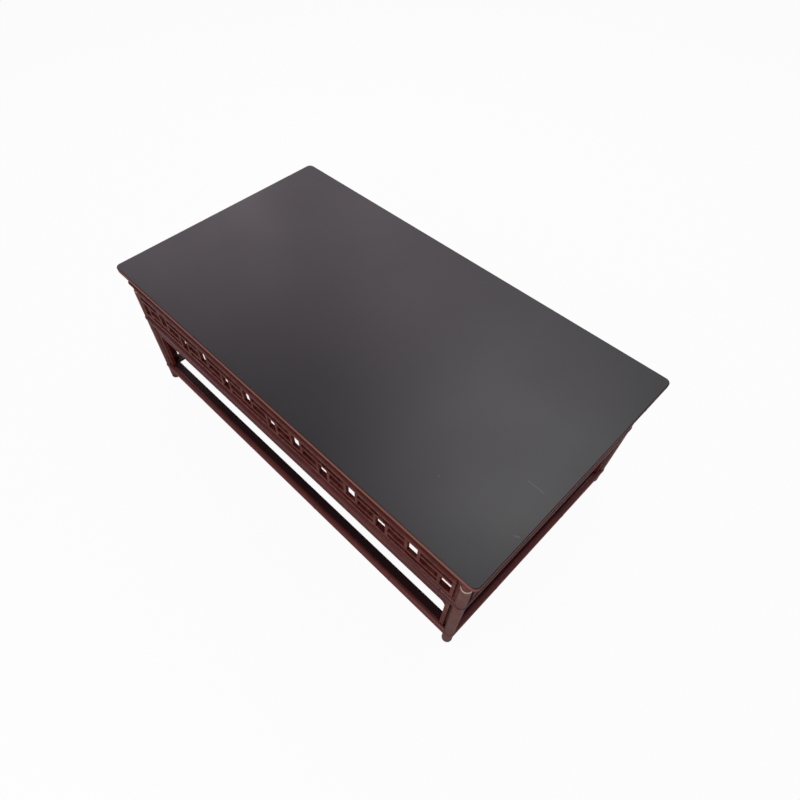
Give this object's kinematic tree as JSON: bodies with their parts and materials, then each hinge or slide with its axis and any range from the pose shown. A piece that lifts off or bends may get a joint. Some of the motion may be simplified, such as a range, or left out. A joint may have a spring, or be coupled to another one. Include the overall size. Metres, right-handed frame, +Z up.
{
  "type": "kang table",
  "caption": "Low rectangular lacquered table with round bamboo-style legs and wrap-round rails, openwork lattice sides and a floor-level base frame.",
  "frame": {"origin": "middle of the table's footprint, on the floor", "axes": "+X along the length, +Y from the front to the back, +Z up"},
  "size_m": [1, 0.556, 0.356],
  "materials": {
    "top_lacquer": "satin black lacquer",
    "frame_wood": "satin red-brown lacquer",
    "lattice_wood": "satin red-brown lacquer",
    "board_wood": "dark stained, dull",
    "hidden_wood": "dull stained"
  },
  "bodies": {
    "root": {"apron_back": "lattice_wood", "apron_back_left_strip": "lattice_wood", "apron_back_right_strip": "lattice_wood", "apron_front": "lattice_wood", "apron_front_left_strip": "lattice_wood", "apron_front_right_strip": "lattice_wood", "apron_left": "lattice_wood", "apron_left_left_strip": "lattice_wood", "apron_left_right_strip": "lattice_wood", "apron_right": "lattice_wood", "apron_right_left_strip": "lattice_wood", "apron_right_right_strip": "lattice_wood", "base_board_back": "board_wood", "base_board_front": "board_wood", "base_board_left": "board_wood", "base_board_right": "board_wood", "base_rail_back": "frame_wood", "base_rail_front": "frame_wood", "base_rail_left": "frame_wood", "base_rail_right": "frame_wood", "batten_left": "hidden_wood", "batten_middle": "hidden_wood", "batten_right": "hidden_wood", "edge_rail_back": "frame_wood", "edge_rail_front": "frame_wood", "edge_rail_left": "frame_wood", "edge_rail_right": "frame_wood", "fret_back_bars": "lattice_wood", "fret_back_bottom_rail": "lattice_wood", "fret_back_top_rail": "lattice_wood", "fret_back_uprights": "lattice_wood", "fret_front_bars": "lattice_wood", "fret_front_bottom_rail": "lattice_wood", "fret_front_top_rail": "lattice_wood", "fret_front_uprights": "lattice_wood", "fret_left_bars": "lattice_wood", "fret_left_bottom_rail": "lattice_wood", "fret_left_top_rail": "lattice_wood", "fret_left_uprights": "lattice_wood", "fret_right_bars": "lattice_wood", "fret_right_bottom_rail": "lattice_wood", "fret_right_top_rail": "lattice_wood", "fret_right_uprights": "lattice_wood", "leg_back_left": "frame_wood", "leg_back_right": "frame_wood", "leg_front_left": "frame_wood", "leg_front_right": "frame_wood", "mid_rail_back": "frame_wood", "mid_rail_front": "frame_wood", "mid_rail_left": "frame_wood", "mid_rail_right": "frame_wood", "top_frame_back": "top_lacquer", "top_frame_front": "top_lacquer", "top_frame_left": "top_lacquer", "top_frame_right": "top_lacquer", "top_panel": "top_lacquer"}
  },
  "joints": []
}
